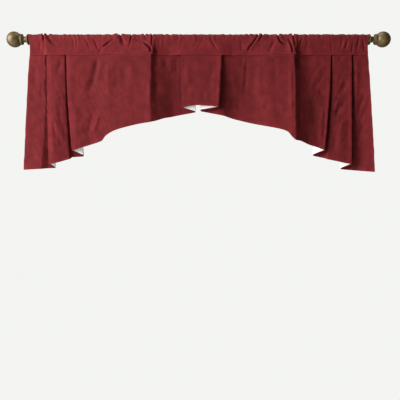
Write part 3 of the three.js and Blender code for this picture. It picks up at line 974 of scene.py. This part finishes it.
skirt_painted_shade = np.maximum(skirt_painted_shade, gap_shade(folded))
print(round(float((skirt_painted_shade > 0.1).mean()), 3), "of the skirt's points are shaded")

# %% [markdown]
# A nap looks lighter or darker by the way it was last stroked, even where the cloth is flat, and noise
# gives the small clouds of that. These soft ovals are larger patches of painted shade and painted light,
# placed as they are seen from the front on the plane of the rod. Lift says how much lighter a patch is;
# hollows and the cloth beside the pleats get painted shade, and a painted light line on each puff hides the
# shadow where the band's edge is sewn on.

# %% Painted shade and light patches
SKIRT_TONE_SHIFT = -0.03
Patch = namedtuple("Patch", "x z width height lift")

# Patches with a negative lift are painted shade, those with a positive lift painted light.
SHADE_AND_LIGHT_PATCHES = [
    Patch(-561, -170, 6, 36, -0.2),
    Patch(-414, -138, 14, 40, 0.06),
    Patch(-370, -120, 14, 60, -0.07),
    Patch(-282, -138, 26, 34, -0.06),
    Patch(-255, -72, 60, 26, -0.06),
    Patch(-256, -55, 76, 2.6, 0.24),
    Patch(-230, -142, 16, 55, 0.05),
    Patch(-94, -149, 40, 70, -0.06),
    Patch(-66, -160, 5, 90, -0.2),
    Patch(121, -180, 20, 50, -0.14),
    Patch(185, -120, 26, 110, -0.07),
    Patch(275, -80, 50, 40, -0.06),
    Patch(278, -55, 66, 2.6, 0.24),
    Patch(392, -120, 22, 60, -0.08),
    Patch(440, -74, 40, 22, 0.05),
    Patch(428, -252, 26, 80, -0.13),
    Patch(498, -315, 16, 80, -0.08),
    Patch(546, -326, 18, 60, 0.06),
    Patch(579, -142, 14, 60, 0.08),
    Patch(594, -355, 20, 60, -0.08),
]


def painted_patches(grid):
    """How much lighter or darker the colour is at each point: a tone shift with patches of painted shade
    and painted light.
    """
    x, z = np.moveaxis(seen(grid), 2, 0)
    lift = np.full(x.shape, SKIRT_TONE_SHIFT)
    for patch in SHADE_AND_LIGHT_PATCHES:
        off = ((x - patch.x) / patch.width) ** 2 + ((z - patch.z) / patch.height) ** 2
        lift += patch.lift * np.exp(-off)
    return lift


print(len(SHADE_AND_LIGHT_PATCHES), "stroked patches")

# %% [markdown]
# An edge of cloth is a tight turn, and smooth shading would spread it over the last whole step of the grid.
# One more line of points close inside every edge keeps it narrow. The distance to the hem, to a side edge
# or to the pressed edge of a pleat is measured along the flat cloth, for the painted highlight there.

# %% Edges of a sheet
RIM, RIM_SHARE = 0.8, 0.5


def hem_distance(grid, pressed_edges):
    """How far each point is from the hem, a side edge or a pressed edge of a pleat."""
    to_hem = np.linalg.norm(np.diff(grid, axis=0), axis=2)[::-1].cumsum(axis=0)[::-1]
    to_hem = np.vstack([to_hem, np.zeros(grid.shape[1])])
    flat = run_along(grid)
    to_side = [np.abs(flat - flat[column]) for column in [0, -1, *pressed_edges]]
    return np.minimum(to_hem, np.min(to_side, axis=0)[None])


def rim_share(edge, inner):
    """The share of each step from an edge to the next line that its rim takes."""
    return np.minimum(RIM / np.linalg.norm(inner - edge, axis=1), RIM_SHARE)[:, None]


def rimmed(values, first, last):
    """A copy of a grid with one more row near its first and its last row, at those shares of a step."""
    near = mix(values[0], values[1], first if values.ndim == 3 else first[..., 0])
    far = mix(values[-1], values[-2], last if values.ndim == 3 else last[..., 0])
    return np.concatenate([values[:1], near[None], values[1:-1], far[None], values[-1:]])


def with_rims(grid, *values):
    """Add a line of points close inside every edge: first the top and the hem, then both sides."""
    layers = [grid, *values]
    for edges in ("top and hem", "sides"):
        lines = layers[0]
        first, last = rim_share(lines[0], lines[1]), rim_share(lines[-1], lines[-2])
        layers = [rimmed(layer, first, last).swapaxes(0, 1) for layer in layers]
    return layers


print("rims", RIM, "mm wide")

# %% [markdown]
# A sheet starts as a flat grid, as the cloth starts flat on a table, and each point then goes to its place
# on the folds. The UV map keeps the flat cloth's own size, and three attributes go with the points to the
# finish. The least edge distance is the smallest distance to an edge that the finish gets to see, so a
# sheet with more of it shows less painted highlight at its hem. A Solidify modifier gives the sheet its
# thickness.

# %% Make a sheet
CLOTH_THICKNESS = 0.6
LEAST_EDGE_LENGTHS = (60.0, 900.0)


def make_sheet(name, grid, painted_shade, tone_and_painted_shade, finish, node, pressed_edges=(), least_edge_distance=0.0):
    grid, painted_shade, tone_and_painted_shade = with_rims(grid, painted_shade, tone_and_painted_shade)
    rows, columns = grid.shape[:2]
    across, fall = run_along(grid), fall_down(grid)
    edge = hem_distance(grid, pressed_edges)
    edge = np.maximum(edge, least_edge_distance + least_edge_distance * wave(across, across, 1.0, LEAST_EDGE_LENGTHS, seed=6.0))
    bm = bmesh.new()
    bmesh.ops.create_grid(bm, x_segments=columns - 1, y_segments=rows - 1, size=0.5)
    to_edge = bm.verts.layers.float.new("hem")
    painted_shade_layer = bm.verts.layers.float.new("crease")
    lifted_by = bm.verts.layers.float.new("tone_and_painted_shade")
    flat_map = bm.loops.layers.uv.new("cloth")
    at = {}
    for vert in bm.verts:
        place = round((0.5 - vert.co.y) * (rows - 1)), round((vert.co.x + 0.5) * (columns - 1))
        at[vert] = place
        vert[to_edge] = edge[place] * MM
        vert[painted_shade_layer] = painted_shade[place]
        vert[lifted_by] = tone_and_painted_shade[place]
        vert.co = Vector(grid[place]) * MM
    for face in bm.faces:
        face.smooth = True
        for loop in face.loops:
            row, column = at[loop.vert]
            loop[flat_map].uv = (across[column] * MM, -fall[row, column] * MM)
    piece = make_piece(name, bm, finish)
    thick = piece.modifiers.new("thickness", "SOLIDIFY")
    thick.thickness = CLOTH_THICKNESS * MM
    thick.offset = 0
    take_over(piece, node)
    print(name, "is", round(across[-1]), "mm wide flat, falls", round(fall[-1].max()), "mm and has",
          len(piece.data.polygons), "faces before it is thickened")
    return piece


print("sheets are", CLOTH_THICKNESS, "mm thick")

# %% [markdown]
# Face cloth and lining lie on the two sides of the same folds. The lining stops a little short of the hem
# and of the side edges, because the face cloth is turned round there. Five pleats have a pressed edge with
# a painted highlight: the first or last column of the panel that folds over, one further on once the rim
# is added.

# %% Skirt and lining
SHEET_OFFSET = 0.6
LINING_INSET, INSET_SHARE = 4.0, 0.9


def drawn_in(grid, inset):
    """The same folds, ending short of the hem and of both side edges."""
    fall = fall_down(grid)
    short = np.empty_like(grid)
    for j in range(grid.shape[1]):
        kept = fall[:, j] * (1 - inset / fall[-1, j])
        for axis in range(3):
            short[:, j, axis] = np.interp(kept, fall[:, j], grid[:, j, axis])
    for end, inner in ((0, 1), (-1, -2)):
        share = inset / np.linalg.norm(short[:, inner] - short[:, end], axis=1)
        short[:, end] = mix(short[:, end], short[:, inner], np.minimum(share, INSET_SHARE)[:, None])
    return short


first = {panel: owners.index(panel) for panel in PANELS}
last = {panel: len(owners) - 1 - owners[::-1].index(panel) for panel in PANELS}
pleat_edges = [first["left_middle"], first["left_scallop"], last["centre"], last["right_scallop"],
               last["right_middle"]]
face_folds = skirt_folds - SHEET_OFFSET * lay_off(skirt_folds)
skirt = make_sheet("skirt_cloth", face_folds, skirt_painted_shade, painted_patches(face_folds), face_cloth,
                   "skirt", pressed_edges=[column + 1 for column in pleat_edges])
lining_folds = drawn_in(skirt_folds, LINING_INSET)
lining_folds = lining_folds + SHEET_OFFSET * lay_off(lining_folds)
lining = make_sheet("skirt_lining", lining_folds, skirt_painted_shade, np.zeros_like(skirt_painted_shade), lining_cloth,
                    "lining")

# %% [markdown]
# Where the band is pushed together on the rod it gathers: narrow creases fan out from the top of the rod
# and run down to the pleats, and the cloth puffs up a little on both sides of each. They are listed as the
# skirt's creases are, with paths as they are seen from the front on the plane of the rod. A path that
# starts above the rod keeps its gather at full depth over the top edge.

# %% Gathers of the band
GATHERS = [
    Crease([(-572, 44), (-572, 24), (-571, 9), (-569, -3), (-566, -22)], (2.4, 3), 8, 4, (0.1, 0.5)),
    Crease([(-556, 44), (-556, 24), (-553, 9), (-546, -4), (-531, -16), (-506, -32)],
           (2.4, 8), 7.5, 3, (0.1, 0.5)),
    Crease([(-585, -2), (-583, -46)], (4, 4), 1.6, 0.5),
    Crease([(-543, 6), (-517, 7), (-488, 10)], (2.4, 2.4), 1, 0.4),
    Crease([(-461, 13), (-459, -42)], (3, 4), 1.6, 0.5),
    Crease([(-449, 6), (-450, -39)], (3, 4), 1.2, 0.4),
    Crease([(-439, 44), (-439, 20), (-433, -6)], (2.4, 3), 2.2, 1.2),
    Crease([(-428, 12), (-408, -15), (-394, -44)], (3, 4), 2.4, 0.8, (0.5, 0.5)),
    Crease([(-394, 14), (-378, -16), (-364, -48)], (3, 4), 3, 1, (0.5, 0.4)),
    Crease([(-300, 10), (-322, -5), (-340, -18), (-354, -28)], (3, 3), 9, 3.4, (0.8, 0.16)),
    Crease([(-356, -29), (-366, -53), (-369, -68)], (5, 6), 3, 0.6),
    Crease([(-297, 44), (-297, 24), (-295, 13), (-293, 2)], (2.4, 2.8), 8, 3.6, (0.1, 0.5)),
    Crease([(-288, 44), (-288, 20), (-281, -7), (-266, -33)], (2.8, 8), 8, 3, (0.1, 0.5)),
    Crease([(-247, 44), (-247, 24), (-249, 6), (-251, -9), (-258, -39)], (2.6, 3.6), 7.5, 3.4, (0.1, 0.5)),
    Crease([(-236, 2), (-219, -6), (-205, -11)], (3.4, 4), 4, 1.4),
    Crease([(-210, -6), (-195, -17), (-180, -29), (-176, -50)], (2.8, 4), 10, 4, (0.4, 0.14)),
    Crease([(-199, 44), (-199, 24), (-197, 11), (-191, -6)], (2.4, 3), 6.5, 3.4, (0.1, 0.5)),
    Crease([(-170, 44), (-170, 24), (-172, 6), (-172, -13), (-170, -33)], (2.4, 3), 7, 3.4, (0.1, 0.4)),
    Crease([(-162, -26), (-159, -42), (-157, -68)], (6, 8), 6, 0),
    Crease([(-146, 4), (-144, -35)], (3.4, 4), 1.8, 0.6),
    Crease([(-129, 6), (-129, -24)], (3.4, 4), 1.4, 0.5),
    Crease([(-99, 13), (-98, -17)], (3.4, 4), 1, 0.4),
    Crease([(-60, 9), (-65, -20), (-72, -46)], (4, 5), 1.2, 0.4),
    Crease([(9, 12), (79, 10), (152, 9)], (2.2, 2.2), 0.9, 0.4),
    Crease([(2, 4), (-12, -18), (-26, -40)], (4, 5), 1.2, 0.4),
    Crease([(20, 2), (4, -20), (-10, -44)], (4, 5), 1, 0.4),
    Crease([(38, 14), (55, -16), (76, -48)], (3, 5), 2.2, 0.7),
    Crease([(156, 6), (159, -50)], (4, 5), 1.4, 0.5),
    Crease([(183, 44), (183, 24), (186, 4)], (2.4, 2.8), 3.6, 2, (0.1, 0.5)),
    Crease([(222, 44), (222, 24), (214, 8), (198, -15), (186, -30), (180, -47)],
           (2.6, 3.6), 8, 3.4, (0.1, 0.16)),
    Crease([(237, 44), (237, 20), (227, 1), (206, -22)], (2.4, 4), 6, 2.8, (0.1, 0.6)),
    Crease([(259, 44), (259, 22), (261, 0)], (2.6, 3), 2.6, 1.4, (0.1, 0.5)),
    Crease([(283, 2), (269, -26), (255, -53)], (5, 8), 2.8, 0.7),
    Crease([(292, 44), (292, 24), (294, 8), (300, -5), (311, -14), (330, -21)],
           (2.6, 4), 11, 4, (0.1, 0.3)),
    Crease([(328, 10), (337, -12), (344, -31), (347, -53)], (2.6, 3.4), 10, 4, (0.35, 0.14)),
    Crease([(346, 44), (346, 24), (351, -2), (357, -31)], (2.6, 3.2), 8, 4, (0.1, 0.3)),
    Crease([(362, -29), (365, -46), (367, -68)], (6, 8), 7, 0),
    Crease([(383, 8), (373, -18), (366, -39)], (3, 4), 4.4, 1.4),
    Crease([(404, 2), (394, -46)], (4, 5), 2, 0.7),
    Crease([(369, 4), (454, 6), (542, 8)], (2.2, 2.2), 0.9, 0.4),
    Crease([(425, 44), (425, 20), (428, -2)], (2.6, 3), 1.6, 0.8),
    Crease([(487, 6), (489, -20), (489, -58)], (3, 4), 1.4, 0.2, (0.6, 0.1)),
    Crease([(530, 12), (526, -17), (518, -48)], (4, 5), 2.2, 0.8, (0.5, 0.5)),
    Crease([(552, 10), (545, -16), (536, -44)], (3.4, 5), 3.6, 1.4, (0.5, 0.4)),
    Crease([(570, 4), (566, -26), (565, -58)], (2.6, 3), 3, 0.3, (0.6, 0.1)),
    Crease([(592, 17), (587, -12), (579, -44)], (3, 5), 3.2, 1.4, (0.4, 0.5)),
    Crease([(602, 8), (608, -24), (612, -50)], (3, 4), 3, 1.2, (0.5, 0.4)),
]
print(len(GATHERS), "gathers on the band")

# %% [markdown]
# The pocket band goes up the front, over the rod and down the back, and both its edges are sewn to the top
# of the skirt. Its lower edges follow the pleats: at each place along the seam they lie just in front of
# and behind the skirt's layers near it, in the rows that the band laps, with the steps between the layers
# blurred. Folded cloth is too stiff to dip into each gap, so a line of given depths bridges them at the
# front. Columns are closer together where the band is gathered.

# %% Feet of the band
BAND_TOP_HALF, BAND_SEAM_HALF = 624.0, 621.0
BAND_COLUMNS, COUNTED_STEPS = 660, 4000
CLOSER, CLOSER_REACH = 2.6, 7.0
FOOT_CLEARANCE = 1.5
LAPPED_ROWS, FINER = 3, 8
FRONT_REACH, BACK_REACH, FOOT_BLUR = 6.0, 8.0, 4.0
BRIDGE = [
    (-640, 2.5), (-575, 2.5), (-559, -5.5), (-385, -5.5), (-365, 2.5), (-104, 2.5), (-70, -5.5),
    (88, -5.5), (122, 2.5), (372, 2.5), (412, -5.5), (566, -5.5), (585, -3), (640, -1),
]


def column_shares():
    """Places of the columns along the band, from -1 to 1, closer together where it is gathered."""
    even = np.linspace(-1, 1, COUNTED_STEPS)
    crowd = np.ones_like(even)
    for gather in GATHERS:
        ends = [x for x, z in gather.path]
        off = np.maximum(min(ends) - even * BAND_TOP_HALF, even * BAND_TOP_HALF - max(ends))
        crowd = np.maximum(crowd, 1 + CLOSER * (1 - ease(0, CLOSER_REACH, off)))
    count = np.cumsum(crowd)
    return np.interp(np.linspace(count[0], count[-1], BAND_COLUMNS), count, even)


band_share = column_shares()
seam_x = band_share * BAND_SEAM_HALF


def foot_depth(nearest, side, reach):
    """Depth of the band's lower edge along the seam, clear of the skirt's layers on that side."""
    columns = np.arange(skirt_folds.shape[1])
    finer = np.linspace(0, columns[-1], FINER * len(columns))
    lapped = skirt_folds[:LAPPED_ROWS]
    x, y = [np.concatenate([np.interp(finer, columns, row[:, axis]) for row in lapped]) for axis in (0, 1)]
    depth = np.array([nearest(y[np.abs(x - here) < reach]) for here in seam_x])
    weight = np.exp(-(((seam_x[:, None] - seam_x) / FOOT_BLUR) ** 2)) * np.gradient(seam_x)
    return weight @ depth / weight.sum(axis=1) + side * FOOT_CLEARANCE


bridged = np.interp(seam_x, *zip(*BRIDGE)) - FOOT_CLEARANCE
front_foot = np.minimum(foot_depth(np.min, -1, FRONT_REACH), bridged)
back_foot = foot_depth(np.max, 1, BACK_REACH)
print("band's front edge from", round(front_foot.min(), 1), "to", round(front_foot.max(), 1), "mm deep")

# %% [markdown]
# The band's section is a loop like a drop: two straight sides that touch a circle round the rod. It is
# drawn from the front edge up, over the rod and down to the back edge. The rows are then turned round, so
# that they run down at the front, as the skirt's do, and the normals point into the pocket.

# %% Section of the band
FRONT_ROWS, OVER_ROWS, BACK_ROWS = 24, 24, 8
BAND_RADIUS = 17.8
BACK_LAP = 2.5
TOP_HEIGHT = BAND_RADIUS * math.pi / 2


def touch_angle(depth, height, side):
    """Angle on the circle where a straight side from a foot at that place touches it."""
    return np.arctan2(height, depth) + side * np.arccos(BAND_RADIUS / np.hypot(depth, height))


def band_section():
    """Depth, height and length up the cloth of every point of the band, rows by columns."""
    sewn_at = band_edge(seam_x)
    start = touch_angle(front_foot, sewn_at, -1) % (2 * math.pi)
    foot = SEAM_HEIGHT - BACK_LAP
    end = touch_angle(back_foot, foot, 1)
    rows = []
    for t in np.linspace(0, 1, FRONT_ROWS, endpoint=False):
        y, z = mix(front_foot, BAND_RADIUS * np.cos(start), t), mix(sewn_at, BAND_RADIUS * np.sin(start), t)
        rows.append((y, z, z))
    for t in np.linspace(0, 1, OVER_ROWS, endpoint=False):
        angle = mix(start, end, t)
        y, z = BAND_RADIUS * np.cos(angle), BAND_RADIUS * np.sin(angle)
        rows.append((y, z, BAND_RADIUS * (math.pi - angle)))
    for t in np.linspace(0, 1, BACK_ROWS + 1):
        y, z = mix(BAND_RADIUS * np.cos(end), back_foot, t), mix(BAND_RADIUS * np.sin(end), foot, t)
        rows.append((y, z, 2 * TOP_HEIGHT - z))
    return [np.stack(values)[::-1] for values in zip(*rows)]


print("band drawn in", FRONT_ROWS + OVER_ROWS + BACK_ROWS + 1, "rows")

# %% [markdown]
# Each gather is pressed in along the section's own normal, no deeper than the rod allows, and shows half as
# strongly at the back. Between the gathers fine puckers make the top edge rise and dip, where the cloth is
# bunched unevenly. All of it fades out at the sewn edge, which stays flat. The band's ends draw in a little
# at half its height.

# %% Pocket band
BAND_WAIST = 4.0
ROD_RADIUS, ROD_GAP = 14.0, 0.4
ROD_CLEARANCE = ROD_RADIUS + ROD_GAP + CLOTH_THICKNESS / 2
BACK_SHARE, BACK_EASE = 0.5, 20
PUCKER_HEIGHT, PUCKER_LENGTHS, PUCKER_EASE = 2.4, (10.0, 36.0), (-16, 16)
SEWN_EASE = 8
# A tone shift that makes the band a little lighter than the skirt.
BAND_TONE_SHIFT = 0.06
# The band's edges keep this distance, so they get less painted highlight.
BAND_LEAST_EDGE_DISTANCE = 6.5


def band_grid():
    y, z, up = band_section()
    fall = np.clip((BAND_RADIUS - z) / (BAND_RADIUS - SEAM_HEIGHT), 0, 1)
    half = mix(BAND_TOP_HALF, BAND_SEAM_HALF, fall) - BAND_WAIST * np.sin(fall * math.pi)
    x = half * band_share
    grid = np.stack([x, y, z], axis=2)
    strength = mix(1.0, BACK_SHARE, ease(TOP_HEIGHT, TOP_HEIGHT + BACK_EASE, up)).ravel()
    dent, painted_shade = pressed(seen(grid).reshape(-1, 2), GATHERS)
    puckers = wave(x.ravel(), up.ravel(), PUCKER_HEIGHT, PUCKER_LENGTHS, seed=5.0)
    dent = dent * strength + puckers * ease(*PUCKER_EASE, z.ravel())
    sewn = ease(0, SEWN_EASE, z - SEAM_HEIGHT)
    grid = grid + lay_off(grid) * (dent.reshape(x.shape) * sewn)[:, :, None]
    reach = np.hypot(grid[:, :, 1], grid[:, :, 2])
    grid[:, :, 1:] *= np.maximum(ROD_CLEARANCE / reach, 1.0)[:, :, None]
    return grid, (painted_shade * strength).reshape(x.shape)


band_folds, band_painted_shade = band_grid()
band = make_sheet("pocket_band_cloth", band_folds, band_painted_shade, np.full(band_painted_shade.shape, BAND_TONE_SHIFT),
                  face_cloth, "pocket_band", least_edge_distance=BAND_LEAST_EDGE_DISTANCE)

# %% [markdown]
# The scallops take almost a third off the skirt's rectangle.

print("three sheets made")
